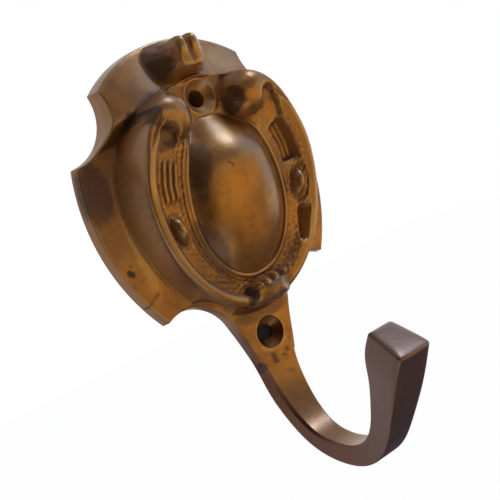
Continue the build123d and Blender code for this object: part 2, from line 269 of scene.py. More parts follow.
def bump(x, z, cx, cz, half_length, half_width, turn):
    """Share 1 - d*d of an ellipse's own distance d, its long axis turned from z by turn degrees."""
    c, s = math.cos(math.radians(turn)), math.sin(math.radians(turn))
    along = (x - cx) * s + (z - cz) * c
    across = (x - cx) * c - (z - cz) * s
    return 1 - (along / half_length) ** 2 - (across / half_width) ** 2


def round_bump(x, z, cx, cz, radius):
    """The same share for a circle."""
    return 1 - ((x - cx) ** 2 + (z - cz) ** 2) / radius ** 2


KNOB_SKIRT = 14.0  # fall outside a knob's outline for one unit of its share
FAR_BELOW = -50.0  # rise where a string of knobs has none


def knob(share, base, top):
    """Half-ellipse height over a bump's share, falling away steeply outside its outline."""
    return base + (top - base) * np.sqrt(np.clip(share, 0, 1)) + KNOB_SKIRT * np.minimum(share, 0)


def caps(x, z, path, base, count):
    """Highest of many knobs strung along a smooth path: each row of the path is x, z, radius and top rise."""
    path = np.array(path, float)
    knots = run_lengths(path[:, :2])
    rise = np.full(np.broadcast(x, z).shape, FAR_BELOW)
    for *circle, top in spline(knots, path, np.linspace(0, knots[-1], count)):
        rise = np.maximum(rise, knob(round_bump(x, z, *circle), base, top))
    return rise


def capsule(x, z, start, end, start_radius, end_radius):
    """Distance past the edge of a tapering capsule between two points, negative inside."""
    dx, dz = end[0] - start[0], end[1] - start[1]
    t = np.clip(((x - start[0]) * dx + (z - start[1]) * dz) / (dx * dx + dz * dz), 0, 1)
    gap = np.hypot(x - start[0] - t * dx, z - start[1] - t * dz)
    return gap - (start_radius + (end_radius - start_radius) * t)


# The face's fall toward the collar, and the trough round the collar
FALL_DEPTH, FALL_LEVELS, FALL_SIDES, FALL_TOP = 3.9, (8.0, 21.0), (6.0, 12.0), (23.0, 28.0)
VALLEY = (28.0, 9.0, 9.0)  # level, half width and half height
VALLEY_RISE, VALLEY_WALL, VALLEY_FLAT = 12.8, 12.0, 0.85  # floor, slope, and the floor's share
VALLEY_START, VALLEY_BLEND = 10.0, 0.8
COLLAR_RADIUS, COLLAR_RISE, COLLAR_EDGES = 5.1, 12.9, (0.6, 0.2)

# Reeded slots: shares of the rim's oval, turns in degrees, floors, and where they run out
SLOT_SHARES, SLOT_TURNS = (0.645, 0.83), (-3.0, 30.0)
SLOT_RISES, SLOT_EDGES, SLOT_ENDS = (13.1, 11.7), (0.015, 0.035), (6.0, 3.0)
SLOT_LEADS = (0.01, 1.0)  # they start outside by these
REEDS, REED_HEIGHTS, REED_POWER = 3, (0.9, 0.3), 3
REED_SWAY, REED_WAVE = 0.03, 0.45  # their waviness

# Tear-shaped pockets and beads
TEAR_WIDE, TEAR_TIP, TEAR_RADII = (18.2, -9.8), (15.5, -16.2), (1.0, 0.5)
TEAR_RISES, TEAR_EDGES = (13.4, 11.9), (-1.0, 0.9)
BEAD = (19.0, -3.0, 3.9, 1.9, 14.0)  # place, half length, half width and turn
BEAD_RISE, BEAD_SEAT, BEAD_BLEND = 15.8, 1.6, 0.3
BEAD_MOAT, MOAT_DEPTH = (-0.8, -0.2), 0.25

# Scrolls: place, radius and rise along each, and their reach as shares of the rim's oval
VOLUTE = [(23.3, 10.0, 0.9, 16.5), (22.3, 14.2, 1.3, 17.3), (20.8, 18.0, 1.8, 18.0), (18.5, 21.6, 2.7, 18.6),
          (15.2, 23.8, 4.3, 19.2), (12.0, 23.2, 6.0, 19.7), (11.2, 21.8, 5.7, 19.4), (11.0, 20.6, 4.6, 18.9)]
VOLUTE_BASE, VOLUTE_BLENDS, VOLUTE_CAPS = 11.8, (0.35, 0.45), 44
VOLUTE_SHARES, VOLUTE_EDGE = (1.01, 0.995), 0.03
VOLUTE_FLARE, FLARE_LEVELS = 0.045, (14.0, 25.0)
# Hollow under each scroll's bulb: its two ends, their radii, and its share of the full depth
CURLS = (((15.1, 18.1), (16.9, 15.2), 2.9, 2.2, 1.0), ((15.9, 20.4), (16.4, 15.0), 2.0, 2.0, 0.6))
CURL_DROP, CURL_RUN = 0.8, 3.6  # its floor below the band's, and the length of its run-out
CURL_EDGES = (-0.8, 0.4)

# Bud on the crest: half sizes of its foot, and the crown's share of it
BUD_Z, BUD_FOOT, BUD_CROWN, BUD_COVE = 35.0, (8.2, 6.6), 0.40, 1.5
BUD_RISE, BUD_SQUARE, BUD_START = 16.1, 3.0, 24.0
BUD_LOBES = [(1.3, 33.4, 1.7, 16.4), (1.6, 35.6, 1.9, 16.8), (1.7, 37.4, 1.9, 17.2), (1.7, 38.4, 1.7, 17.1)]
BUD_LOBE_BASE, BUD_LOBE_BLEND, BUD_CAPS = 14.6, 0.6, 30

# Shell at the foot of the rim: middle, half width, half height and squareness of its outline
SHELL, SHELL_SQUARE = (1.0, -24.5, 7.6, 3.7), 2.4
SHELL_BASE, SHELL_RISE, SHELL_FALL = 7.6, 12.4, 0.28  # the fall is to the right
SHELL_LUMPS, SHELL_WAVE, SHELL_SEED = 0.2, 5.0, 7
SHELL_START, SHELL_BLEND = -15.0, 0.4
SHELL_KNOBS = ((-3.1, -22.6, 1.0, 12.7), (-1.4, -22.2, 0.9, 12.9), (1.6, -21.7, 1.0, 13.0),
               (5.2, -22.0, 1.1, 12.2))
SHELL_KNOB_BASE, SHELL_KNOB_BLEND = 9.5, 0.5


def rim_share(side, z):
    """Distance from the rim's middle as a share of the rim's own oval: 1 on it."""
    up = np.where(z > FACE_LEVEL, RIM_OVAL[2] - FACE_LEVEL, FACE_LEVEL - RIM_OVAL[3])
    return np.hypot(side / RIM_OVAL[1], (z - FACE_LEVEL) / up)


def valley(x, z, rise):
    """The face's fall toward the collar, and the trough round it: a flat floor, then a straight wall."""
    side = np.abs(x)
    rise = rise - FALL_DEPTH * (smooth(z, *FALL_LEVELS) * fade(side, *FALL_SIDES) * fade(z, *FALL_TOP))
    level, half_width, half_height = VALLEY
    out = np.hypot(side / half_width, (z - level) / half_height)
    trough = VALLEY_RISE + VALLEY_WALL * np.clip(out - VALLEY_FLAT, 0, None)
    return np.where(z > VALLEY_START, soft_min(rise, trough, VALLEY_BLEND), rise)


def slots(x, z, rise):
    """Reeded slots between two shares of the rim's oval and two turns: reeds are rows of a cubed saw wave,
    on the band's floor on the left and in a pocket on the right."""
    side = np.abs(x)
    share = rim_share(side, z)
    turn = np.degrees(np.arctan2(z - FACE_LEVEL, side))
    (inner, outer), (low, high) = SLOT_SHARES, SLOT_TURNS
    edge, end = by_side(x, SLOT_EDGES), by_side(x, SLOT_ENDS)
    lead, lead_turn = SLOT_LEADS
    inside = smooth(share, inner - lead, inner + edge) * fade(share, outer - edge, outer + lead)
    inside = inside * smooth(turn, low - lead_turn, low + end) * fade(turn, high - end, high + lead_turn)
    place = (share - inner) / (outer - inner) * REEDS + REED_SWAY * np.sin(REED_WAVE * turn)
    reed = 1 - np.abs(2 * (place % 1) - 1) ** REED_POWER
    floor = by_side(x, SLOT_RISES) + by_side(x, REED_HEIGHTS) * reed + lean(z)
    return rise + (floor - rise) * inside


def tears(x, z, rise):
    """Tear-shaped pockets: tapering capsules with sloped sides and floors that lean with the face."""
    tear = capsule(np.abs(x), z, TEAR_WIDE, TEAR_TIP, *TEAR_RADII)
    floor = by_side(x, TEAR_RISES) + lean(z)
    return rise + (np.minimum(rise, floor) - rise) * fade(tear, *TEAR_EDGES)


def beads(x, z, rise):
    """Half ellipsoids on the band, each in a shallow moat."""
    bead = bump(np.abs(x), z, *BEAD)
    rise = rise - MOAT_DEPTH * smooth(bead, *BEAD_MOAT)
    return soft_max(rise, knob(bead, BAND_RISE - BEAD_SEAT, BEAD_RISE) + lean(z), BEAD_BLEND)


def scrolls(x, z, rise):
    """Scrolls that swell along the rim and end in bulbs: strings of knobs, cut off outside the rim."""
    side = np.abs(x)
    reach = by_side(x, VOLUTE_SHARES) + VOLUTE_FLARE * smooth(z, *FLARE_LEVELS)
    string = caps(side, z, VOLUTE, VOLUTE_BASE, VOLUTE_CAPS)
    scroll = soft_max(rise, string, by_side(x, VOLUTE_BLENDS))
    return rise + (scroll - rise) * smooth(reach + VOLUTE_EDGE - rim_share(side, z), 0, VOLUTE_EDGE)


def curls(x, z, rise):
    """Hollow under each scroll's bulb: a capsule whose floor drops below the band's toward its upper end."""
    for (start, *shape, depth), half in zip(CURLS, (x < 0, x >= 0)):
        curl = capsule(np.abs(x), z, start, *shape)
        floor = BAND_RISE + lean(z) - CURL_DROP * smooth(z, start[1] - CURL_RUN, start[1])
        rise = rise + (np.minimum(rise, floor) - rise) * fade(curl, *CURL_EDGES) * depth * half
    return rise


def bud(x, z, rise):
    """Bud on the crest: flanks that steepen toward its crown, and two lobes with a cleft between them."""
    side = np.abs(x)
    across, along = side / BUD_FOOT[0], np.abs(z - BUD_Z) / BUD_FOOT[1]
    reach = (across ** BUD_SQUARE + along ** BUD_SQUARE) ** (1 / BUD_SQUARE)
    climb = np.clip((1 - reach) / (1 - BUD_CROWN), 0, 1) ** BUD_COVE
    crown = rise + np.maximum(BUD_RISE - rise, 0) * climb
    crown = soft_max(crown, caps(side, z, BUD_LOBES, BUD_LOBE_BASE, BUD_CAPS), BUD_LOBE_BLEND)
    return np.where(z > BUD_START, crown, rise)


def shell(x, z, rise):
    """Lumpy boss with a squared oval for its outline, falling to the right, and a row of knobs above it."""
    middle_x, middle_z, half_width, half_height = SHELL
    across, along = np.abs((x - middle_x) / half_width), np.abs((z - middle_z) / half_height)
    top = SHELL_RISE + SHELL_LUMPS * ripple(x, z, SHELL_WAVE, SHELL_SEED)
    top = top - SHELL_FALL * np.clip(x - middle_x, 0, None)
    boss = knob(1 - across ** SHELL_SQUARE - along ** SHELL_SQUARE, SHELL_BASE, top)
    rise = np.where(z < SHELL_START, soft_max(rise, boss, SHELL_BLEND), rise)
    for *circle, top in SHELL_KNOBS:
        small = knob(round_bump(x, z, *circle), SHELL_KNOB_BASE, top)
        rise = soft_max(rise, small, SHELL_KNOB_BLEND)
    return rise


def collar(x, z, rise):
    """Flat round about the upper screw hole."""
    out = np.hypot(x, z - TOP_HOLE_Z)
    flat = fade(out, COLLAR_RADIUS - COLLAR_EDGES[0], COLLAR_RADIUS + COLLAR_EDGES[1])
    return rise + (COLLAR_RISE - rise) * flat


def relief(x, z, rise):
    """Height of the front after its ornament: each piece raises or lowers the plain form over its outline."""
    for ornament in (valley, slots, tears, beads, scrolls, curls, bud, shell, collar):
        rise = ornament(x, z, rise)
    return rise


def spread(inner, outer, count):
    """Rings of radii that step evenly from one ring to the next, and their steps from 0 to 1."""
    t = np.linspace(0, 1, count)[:, None]
    return inner + (outer - inner) * t, t


class Net:
    """Rings about the plate's middle, each a radius and a rise at every turn."""

    def __init__(self):
        step = np.linspace(0, 2 * np.pi, ANGLES, endpoint=False)
        turns = step - CROWDING * np.sin(2 * step)
        self.sin, self.cos = np.sin(turns), np.cos(turns)
        self.outline = polar(outline_points(), turns)
        ovals = (FOOT_OVAL, RIM_OVAL, DOME_OVAL, HOLLOW_OVAL)
        self.foot, self.rim, self.dome, self.mouth = (polar(oval_points(oval), turns) for oval in ovals)
        self.radii, self.rises = [], []

    def at(self, radius):
        """Drawn x and z of rings: radius times the sine and cosine of the turn from the top."""
        return radius * self.sin, self.level(radius)

    def level(self, radius):
        """Drawn z of rings."""
        return CENTRE_Z + radius * self.cos

    def add(self, radius, rise):
        """Rings of a radius and a rise."""
        self.radii.append(radius)
        self.rises.append(np.broadcast_to(rise, radius.shape))

    def add_front(self, radius, rise):
        """Rings of the front, with the ornament laid on their rise."""
        self.add(radius, relief(*self.at(radius), rise))

    def points(self):
        """All rings as drawn points: x, the rise taken forward, and z."""
        x, z = self.at(np.concatenate(self.radii))
        return np.stack([x, -np.concatenate(self.rises), z], axis=-1)


def add_back(net):
    """The hollow's floor, which swells behind the dome as a half ellipse, its wall, and the flat back."""
    floor = net.mouth - HOLLOW_DRAFT
    radius, _ = spread(floor * HOLLOW_SPAN[0], floor * HOLLOW_SPAN[1], HOLLOW_RINGS)
    swell = np.sqrt(np.clip(1 - (radius / (net.dome - SHELL_WALL / 2)) ** 2, 0, 1))
    height = (DOME_RISE - SHELL_WALL - HOLLOW_RISE) * swell * HOLLOW_SWELL
    net.add(radius, HOLLOW_RISE + lean(net.level(radius)) + height)
    radius, t = spread(floor, net.mouth, FLAT_RINGS)
    net.add(radius, np.maximum(HOLLOW_RISE + lean(net.level(floor)), HOLLOW_LEAST) * (1 - t))
    radius, _ = spread(net.mouth + BACK_GAPS[0], net.outline - BACK_GAPS[1], FLAT_RINGS)
    net.add(radius, back_sink(net.level(radius)))


def add_edge(net):
    """The plate's drafted edge and a quarter round over it. Gives the radius where its face starts."""
    z = net.level(net.outline)
    brink = net.outline - (EDGE_DRAFT + (ARM_DRAFT - EDGE_DRAFT) * fade(z, *DRAFT_LEVELS))
    top = plate_rise(*net.at(brink))
    radius, t = spread(net.outline, brink, FLAT_RINGS)
    net.add(radius, back_sink(z) * (1 - t) + (top - EDGE_ROUND) * t)
    arc = np.linspace(0, np.pi / 2, EDGE_ARC)[1:, None]
    net.add(brink - EDGE_ROUND * (1 - np.cos(arc)), top - EDGE_ROUND * (1 - np.sin(arc)))
    return brink - EDGE_ROUND


def ribbon_offsets(net):
    """The ribbon's offsets at each turn: toward the collar they blend into even steps, with no undercut."""
    plain = np.linspace(RIBBON_START, RIBBON[-1, 0], len(RIBBON))[:, None]
    return RIBBON[:, :1] + (plain - RIBBON[:, :1]) * smooth(net.level(net.rim), *RIBBON_LEVELS)


def add_wall(net, face_start):
    """The plate's face in to the cartouche, a fillet, and the cartouche's wall. Its foot lies where the
    straight line from the foot's oval up to the rim's oval meets the plate's face."""
    x, z = net.at(net.foot)
    base = net.rim + (net.foot - net.rim) * (1 - plate_rise(x, z) / (RIM_RISE + lean(z)))
    base = np.minimum(base, face_start - FOOT_FILLET - FOOT_GAP)
    low = plate_rise(*net.at(base))
    high = RIM_RISE + lean(net.level(net.rim))
    bare, full = FILLET_WALLS
    fillet = np.clip(FOOT_FILLET * (high - low - bare) / full, LEAST_FILLET, FOOT_FILLET)
    radius, _ = spread(face_start - RING_GAP, base + fillet, FACE_RINGS)
    net.add_front(radius, plate_rise(*net.at(radius)))
    arc = np.linspace(0, np.pi / 2, FILLET_ARC)[1:-1, None]
    net.add_front(base + fillet * (1 - np.sin(arc)), low + fillet * (1 - np.cos(arc)))
    radius, t = spread(base, net.rim + ribbon_offsets(net)[0] + WALL_GAPS[0], WALL_RINGS)
    net.add_front(radius, low + fillet + (high + RIBBON[0, 1] - WALL_GAPS[1] - low - fillet) * t)


def add_ribbon(net):
    """The rim's rolled ribbon: its profile carried round the oval, its inner fall shallower on the right."""
    radius = net.rim + ribbon_offsets(net)
    x, z = net.at(radius)
    ease = (RIBBON[:, :1] < RIBBON_INNER) * RIBBON_EASE * smooth(x, *MIDDLE)
    net.add_front(radius, RIM_RISE + lean(z) + RIBBON[:, 1:] * (1 - ease))


def add_band(net):
    """The band's rough floor below the ribbon, with a groove beside the ring on the left."""
    radius, t = spread(net.rim + RIBBON[-1, 0] - RING_GAP, net.dome + RING[0, 0] + RING_GAP, BAND_RINGS)
    x, z = net.at(radius)
    top = RIM_RISE + RIBBON[-1, 1] * (1 - RIBBON_EASE * smooth(x, *MIDDLE))
    end = BAND_ENDS[0] + (BAND_ENDS[1] - BAND_ENDS[0]) * smooth(x, *MIDDLE)
    slope = top + (BAND_RISE - top) * smooth(t, 0.0, end)
    channel = CHANNEL_DEPTH * smooth(t, *CHANNEL_START) * fade(t, *CHANNEL_END) * fade(x, *CHANNEL_SIDE)
    net.add_front(radius, slope - channel + lean(z) + BAND_ROUGH * ripple(x, z, BAND_WAVE, BAND_SEED))


def add_dome(net):
    """The ring, which fades toward the collar, and the dome: an arc's cap carried over the dome's oval."""
    radius = net.dome + RING[:, :1]
    z = net.level(radius)
    net.add_front(radius, BAND_RISE + lean(z) + RING[:, 1:] * fade(z, *RING_LEVELS))
    t = np.linspace(*DOME_SPAN, DOME_RINGS)[:, None]
    radius = net.dome * t
    rim_cos = math.sqrt(DOME_ROUND ** 2 - 1)
    cap = (np.sqrt(DOME_ROUND ** 2 - t * t) - rim_cos) / (DOME_ROUND - rim_cos)
    net.add_front(radius, BAND_RISE + lean(net.level(radius)) + (DOME_RISE - BAND_RISE) * cap)


def casting_net():
    """Polar net of the plate and cartouche: rings that run from the hollow's middle over the back to the
    outline, up the edge, over the lobes, up the cartouche's wall and over its face to the dome's middle."""
    net = Net()
    add_back(net)
    face_start = add_edge(net)
    add_wall(net, face_start)
    add_ribbon(net)
    add_band(net)
    add_dome(net)
    return net.points()


def placed(points):
    """Drawn millimetres moved to the frame's origin, in metres."""
    return (points - np.array([0, 0, ORIGIN_Z])) * MM


def net_mesh(name, net):
    """Closed mesh of a net whose columns wrap round: quads between neighbouring rings, a fan at each end."""
    rings, columns = net.shape[:2]
    ends = np.stack([net[0].mean(0), net[-1].mean(0)])
    points = np.concatenate([net.reshape(-1, 3), ends])
    here = np.arange(rings * columns).reshape(rings, columns)
    after = np.roll(here, -1, axis=1)
    quads = np.stack([here[:-1], here[1:], after[1:], after[:-1]], axis=-1).reshape(-1, 4)
    first = np.stack([np.full(columns, rings * columns), here[0], after[0]], axis=-1)
    last = np.stack([np.full(columns, rings * columns + 1), after[-1], here[-1]], axis=-1)
    loops = np.concatenate([quads.ravel(), first.ravel(), last.ravel()])
    starts = np.concatenate([np.arange(len(quads)) * 4, len(quads) * 4 + np.arange(2 * columns) * 3])
    mesh = bpy.data.meshes.new(name)
    mesh.vertices.add(len(points))
    mesh.vertices.foreach_set("co", placed(points).astype(np.float32).ravel())
    mesh.loops.add(len(loops))
    mesh.loops.foreach_set("vertex_index", loops.astype(np.int32))
    mesh.polygons.add(len(starts))
    mesh.polygons.foreach_set("loop_start", starts.astype(np.int32))
    mesh.update(calc_edges=True)
    mesh.validate()
    return mesh


def new_object(name, data):
    """Object of a mesh, lamp or camera, linked into the scene."""
    obj = bpy.data.objects.new(name, data)
    bpy.context.scene.collection.objects.link(obj)
    return obj


# Hook: rise of its inner face, drop below the join, slope in degrees, thickness, half widths of the inner and
# outer faces, chamfer of the inner edges, and how far all edges are rounded, from 0 to 1
HOOK_STATIONS = np.array([
    (3.3, -6.5, -91.0, 3.2, 6.3, 7.36, 0.7, 0.0),
    (3.22, -3.0, -90.0, 3.15, 5.6, 6.66, 0.8, 0.0),
    (3.26, 0.0, -88.0, 3.2, 4.95, 6.08, 0.9, 0.0),
    (3.9, 5.9, -79.0, 3.55, 4.25, 5.45, 1.0, 0.0),
    (6.1, 12.7, -66.0, 3.75, 3.6, 4.75, 1.0, 0.0),
    (10.2, 18.6, -40.0, 4.0, 3.1, 4.15, 0.9, 0.05),
    (17.6, 22.0, -12.0, 4.7, 2.85, 3.75, 0.6, 0.1),
    (25.8, 21.6, 18.0, 5.5, 2.85, 3.6, 0.5, 0.1),
    (30.4, 18.2, 54.0, 6.2, 3.0, 3.8, 0.5, 0.15),
    (33.9, 12.7, 59.0, 7.3, 3.2, 4.4, 0.5, 0.2),
    (37.3, 5.7, 62.0, 9.1, 3.5, 5.1, 0.6, 0.25),
    (39.6, -0.2, 59.0, 10.7, 3.8, 5.4, 0.7, 0.35),
    (42.9, -4.7, 53.0, 10.9, 3.6, 5.3, 0.8, 0.6),
])
HOOK_RINGS, SIDE_POINTS = 170, 10
CHAMFER_LEAN = 0.5  # how far a chamfer goes outward for its depth
ROUND_PASSES, OVAL_PASSES = (1, 14), 40  # for least and full rounding, and for the tip
TIP_CROWN, TIP_ROUND, TIP_POWER = 0.3, 0.6, 8
TIP_SHARES = np.array([0.985, 0.95, 0.9, 0.82, 0.7, 0.5, 0.3, 0.12])[:, None, None]


def softened(ring, axis, passes):
    """Closed ring after means over neighbours, half of the weight on the point itself, taken a few times."""
    for _ in range(passes):
        ring = 0.5 * ring + 0.25 * (np.roll(ring, 1, axis=axis) + np.roll(ring, -1, axis=axis))
    return ring


def section(inner, outer, thickness, chamfer, rounding):
    """Trapezoid with chamfered inner edges as one closed run: points crowd toward the corners of each of its
    six sides, and means over neighbours round the corners, more of them where the rounding is larger."""
    flat = np.zeros_like(inner)
    shoulder = inner + CHAMFER_LEAN * chamfer
    right = [np.stack(c, -1) for c in ((inner, flat), (shoulder, -chamfer), (outer, -thickness))]
    left = [c * np.array([-1, 1]) for c in right]
    corners = np.stack([right[0], *left, *right[:0:-1]], 1)
    t = (0.5 - 0.5 * np.cos(np.pi * np.arange(SIDE_POINTS) / SIDE_POINTS))[:, None]
    ring = corners[:, :, None] + (np.roll(corners, -1, axis=1) - corners)[:, :, None] * t
    ring = ring.reshape(len(inner), -1, 2)
    crisp, soft = (softened(ring, 1, passes) for passes in ROUND_PASSES)
    return crisp + (soft - crisp) * rounding[:, None, None]


def tip_cap(last, slope):
    """Rings that close the tip: the last section shrinks toward its middle and turns oval on the way, lifted
    along the run by a shallow crown and a round edge."""
    run = np.array([0, -math.cos(slope), math.sin(slope)])
    lift = TIP_CROWN * (1 - TIP_SHARES ** 2) + TIP_ROUND * np.sqrt(1 - TIP_SHARES ** TIP_POWER)
    middle = last.mean(0)
    oval = softened(last, 0, OVAL_PASSES)
    shape = (last - middle) * TIP_SHARES + (oval - middle) * (1 - TIP_SHARES)
    return middle + shape * TIP_SHARES + run * lift


def hook_net():
    """Rounded trapezoid carried along the hook's run, square to it, with the tip's cap. Its columns are
    turned round at the end, so that the faces point outwards."""
    knots = run_lengths(HOOK_STATIONS[:, :2])
    places = np.linspace(0, knots[-1], HOOK_RINGS)
    rise, drop, slope, thickness, inner, outer, chamfer, rounding = spline(knots, HOOK_STATIONS, places).T
    flat = section(inner, outer, thickness, chamfer, np.clip(rounding, 0, 1))
    slope = np.radians(slope)[:, None]
    along, across = flat[..., 0], flat[..., 1]
    # The section's own up is square to the run, toward the hook's inner side
    out = rise[:, None] - across * np.sin(slope)
    up = JOIN[1] - drop[:, None] + across * np.cos(slope)
    net = np.stack([along, -out, up], -1)
    return np.concatenate([net, tip_cap(net[-1], slope[-1, 0])])[:, ::-1]


# Screw holes: level, rise of the face they are sunk into, and rise of the cutter's front end
HOLES = ((TOP_HOLE_Z, COLLAR_RISE, 30.0), (LOW_HOLE_Z, 3.0, 12.0))
CUTTER_BACK = -3.0


def countersink(z, face, reach):
    """Cutter turned about the screw's axis: bore, 90 degree cone to the face, then a clear cylinder."""
    profile = np.array([(BORE, CUTTER_BACK), (BORE, face - (SINK - BORE)), (SINK, face), (SINK, reach)])
    t = np.linspace(0, 2 * np.pi, HOLE_SIDES, endpoint=False)
    radius, rise = profile[:, :1], profile[:, 1:]
    return np.stack([radius * np.sin(t), -rise + 0 * t, z + radius * np.cos(t)], -1)


def combine(target, tool, operation):
    """Boolean of two closed meshes, applied to the first, with the second removed."""
    modifier = target.modifiers.new(operation.lower(), "BOOLEAN")
    modifier.operation = operation
    modifier.object = tool
    modifier.solver = "MANIFOLD"
    graph = bpy.context.evaluated_depsgraph_get()
    mesh = bpy.data.meshes.new_from_object(target.evaluated_get(graph))
    target.modifiers.clear()
    old = target.data
    target.data = mesh
    bpy.data.meshes.remove(old)
    bpy.data.objects.remove(tool)


# Marks of age and painted light and shade on the front: x, z, half length, half width, turn in degrees from
# z, and strength
# Drops, drips and specks
SPECKS = [
    (-30.2, -8.1, 1.35, 0.75, -40.0, 1.0), (-29.6, -6.3, 0.3, 0.3, 0.0, 0.9),
    (-26.5, -15.4, 1.7, 0.4, 60.0, 0.5), (-28.9, -16.6, 1.2, 0.4, 60.0, 0.7),
    (-1.9, -42.2, 1.9, 0.8, 15.0, 0.9), (2.7, -41.4, 1.1, 0.8, 60.0, 0.8), (-5.6, -43.0, 1.5, 1.0, 20.0, 0.7),
    (0.9, -46.8, 0.9, 0.5, 0.0, 0.6), (1.0, -42.6, 0.8, 0.5, 40.0, 0.7),
    (-3.6, 7.6, 0.35, 0.3, 0.0, 0.9), (-3.0, 6.9, 0.3, 0.25, 0.0, 0.8), (-1.5, 8.2, 0.25, 0.2, 0.0, 0.8),
    (-10.6, -2.4, 0.4, 0.25, 60.0, 0.9), (-10.9, -7.5, 0.4, 0.3, 0.0, 0.8), (-11.0, 2.3, 1.4, 1.0, 30.0, 0.5),
]
# Broad dark patches: painted shade from the left lobe and the crest down to the arm's root, and two that
# darken the lower band
SHADE_PATCHES = [
    (-31.0, 12.4, 8.0, 4.2, 8.0, 0.65), (-13.0, 34.0, 7.0, 4.5, -60.0, 0.25),
    (-8.2, 37.2, 3.4, 5.0, 0.0, 0.3), (-5.9, 35.3, 4.4, 1.9, -4.0, 0.7),
    (-17.8, 24.0, 3.4, 2.2, 10.0, 0.8), (-14.8, 18.2, 3.0, 2.2, -20.0, 0.7),
    (6.8, 21.4, 3.8, 1.6, 10.0, 0.7), (-9.4, 9.5, 6.5, 2.4, 22.0, 0.6),
    (-12.2, -9.4, 8.6, 3.4, -22.0, 0.6), (-21.3, -5.5, 13.0, 2.4, -13.0, 0.35),
    (-14.0, -15.0, 10.0, 4.5, -40.0, 0.4), (8.5, -18.0, 6.0, 2.4, 45.0, 0.35),
    (-5.5, -24.6, 2.6, 1.5, 10.0, 0.85), (3.0, -25.4, 3.6, 6.0, 0.0, 0.45),
    (0.0, -29.4, 2.6, 9.0, 0.0, 0.55),
]
# Painted highlights and sheen in a rubbed-bright colour: bulb, dome, crest, and the cartouche's left wall
PAINTED_HIGHLIGHTS = [
    (-13.2, 22.6, 4.0, 3.6, 0.0, 0.8), (-1.0, 15.0, 5.5, 4.0, 20.0, 0.8),
    (-10.5, 28.4, 2.2, 4.5, 20.0, 0.5), (15.6, 33.2, 5.5, 7.0, 0.0, 0.75),
    (-25.6, -1.0, 20.0, 3.0, 0.0, 0.9),
]
STAIN_AND_SHADE_EDGE, HIGHLIGHT_EDGE = (-0.25, 0.45), (0.0, 0.9)  # shares in which a mark fades in
RAGGED, RAGGED_WAVE, RAGGED_SEED = 0.18, 1.6, 11  # uneven edges
# The two limits below hold for the dark specks and the painted shade alike.
STAIN_AND_SHADE_FACING = -0.05  # stains lie on faces turned to the room past this
HOOK_CLEAR = 25.0  # rise past which there are no stains
WEAR_PASSES, RECESS_PASSES = 6, 16  # passes over neighbours that find edges and hollows
WEAR_HEIGHT, RECESS_DEPTH = 0.1, 0.5
RAW_FACING, BACK_FACING = (-0.8, -0.25), (0.4, 0.7)  # raw metal, turned from the room
# The arm's flanks get painted shade where they face sideways past the first pair and lie below the second.
FLANK_FACING, FLANK_LEVELS = (0.4, 0.75), (-36.0, -28.0)  # the arm's flanks
DULL_RISES, DULL_LEVELS = (14.0, 34.0), (-40.0, -30.0)  # the hook dulls outward from the wall
BEND_DULL, BEND_LEVELS = 0.55, (-60.0, -46.0)  # and down to its bend
RIM_NEAR = 0.03  # reach of a screw hole's rim


def mesh_rows(items, field, width, kind=np.float32):
    """One field of a mesh's points or edges as an array with a row for each."""
    values = np.empty(len(items) * width, kind)
    items.foreach_get(field, values)
    return values.reshape(-1, width)


def neighbour_mean(values, ends, count):
    """Mean of each point's neighbours along the mesh's edges."""
    pairs = np.concatenate([ends, ends[:, ::-1]])
    share = np.bincount(pairs[:, 0], minlength=count)
    return np.stack([np.bincount(pairs[:, 0], values[pairs[:, 1], i], count) / share for i in range(3)], -1)


def crisp_holes(mesh):
    """Marks an edge sharp where both its ends lie on the rim of a screw hole's sink or bore."""
    points = mesh_rows(mesh.vertices, "co", 3) / MM
    ends = mesh_rows(mesh.edges, "vertices", 2, np.int32)
    sharp = np.zeros(len(mesh.edges), bool)
    for z in (TOP_HOLE_Z, LOW_HOLE_Z):
        out = np.hypot(points[:, 0], points[:, 2] + ORIGIN_Z - z)[ends]
        for radius in (BORE, SINK):
            sharp |= np.all(np.abs(out - radius) < RIM_NEAR, axis=1)
    mesh.attributes.new("sharp_edge", "BOOLEAN", "EDGE").data.foreach_set("value", sharp)


def patches(x, z, marks, edge):
    """Strongest of the marks at each point: ellipses with ragged edges."""
    ragged = RAGGED * ripple(x, z, RAGGED_WAVE, RAGGED_SEED)
    strongest = np.zeros(len(x))
    for cx, cz, half_length, half_width, turn, strength in marks:
        share = bump(x, z, cx, cz, half_length, half_width, turn) + ragged / max(1.0, half_width)
        strongest = np.maximum(strongest, strength * smooth(share, *edge))
    return strongest


